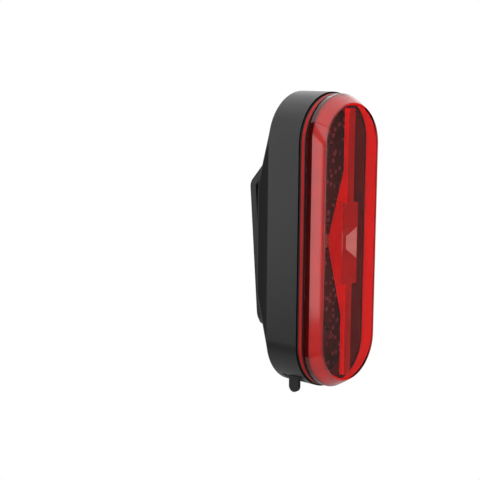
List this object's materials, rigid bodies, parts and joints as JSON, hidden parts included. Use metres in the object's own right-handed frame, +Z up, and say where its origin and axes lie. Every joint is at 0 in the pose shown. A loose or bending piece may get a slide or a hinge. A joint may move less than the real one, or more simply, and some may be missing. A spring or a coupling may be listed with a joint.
{
  "type": "bike rear light",
  "caption": "Upright bicycle rear light with a red lens over a light guide, an oval button, a rubber-covered charging socket and a spring clip on its back.",
  "frame": {"origin": "middle of the housing's flat back, under the clip, where a strap or bracket tongue lies", "axes": "+Z up along the light, -Y out of the red lens, +Y out of the back towards the clip, +X to the right seen from the front"},
  "size_m": [0.0272, 0.0289, 0.0813],
  "materials": {
    "housing_black": "fine matt texture",
    "clip_black": "fine matt texture",
    "button_black": "soft matt",
    "lens_red": "clear polished",
    "guide_clear": "clear, slightly frosted",
    "rubber_black": "matt",
    "board_mask": "solder mask",
    "led_body": "satin",
    "chip_black": "satin",
    "capacitor_tan": "ceramic",
    "connector_cream": "moulded",
    "cell_foil": "foil pouch",
    "foam_grey": "foam",
    "lead_red": "wire insulation",
    "socket_steel": "plated sheet",
    "screw_black": "blackened"
  },
  "bodies": {
    "light": {"rear_housing": "housing_black", "front_lens": "lens_red", "lens_seal": "rubber_black", "light_guide": "guide_clear", "main_board": "board_mask", "led_emitter": "led_body", "board_resistors": "chip_black", "board_capacitors": "capacitor_tan", "driver_chip": "chip_black", "charger_chip": "chip_black", "battery_connector": "connector_cream", "battery_cell": "cell_foil", "battery_pad": "foam_grey", "battery_lead_red": "lead_red", "battery_lead_black": "rubber_black", "charge_socket": "socket_steel", "socket_tongue": "chip_black", "tact_switch": "chip_black", "board_screws": "screw_black"},
    "button": {"power_button": "button_black", "switch_plunger": "chip_black"},
    "cover": {"port_cover": "rubber_black"},
    "clip": {"belt_clip": "clip_black"}
  },
  "joints": [
    {"name": "button_press", "type": "slide", "parent": "light", "child": "button", "axis": [0, -1, 0], "range_m": [0, 0.0006], "stiffness_N_per_m": 400, "springref_m": -0.0005},
    {"name": "cover_swing", "type": "hinge", "parent": "light", "child": "cover", "pos_m": [0.00782, -0.011, -0.03678], "axis": [0, -1, 0], "range_deg": [0, 90], "stiffness_Nm_per_rad": 0.002, "springref_deg": -17.19},
    {"name": "clip_flex", "type": "hinge", "parent": "light", "child": "clip", "pos_m": [0, -0.003, 0.0232], "axis": [1, 0, 0], "range_deg": [0, 7], "stiffness_Nm_per_rad": 0.3, "springref_deg": -1.15}
  ]
}
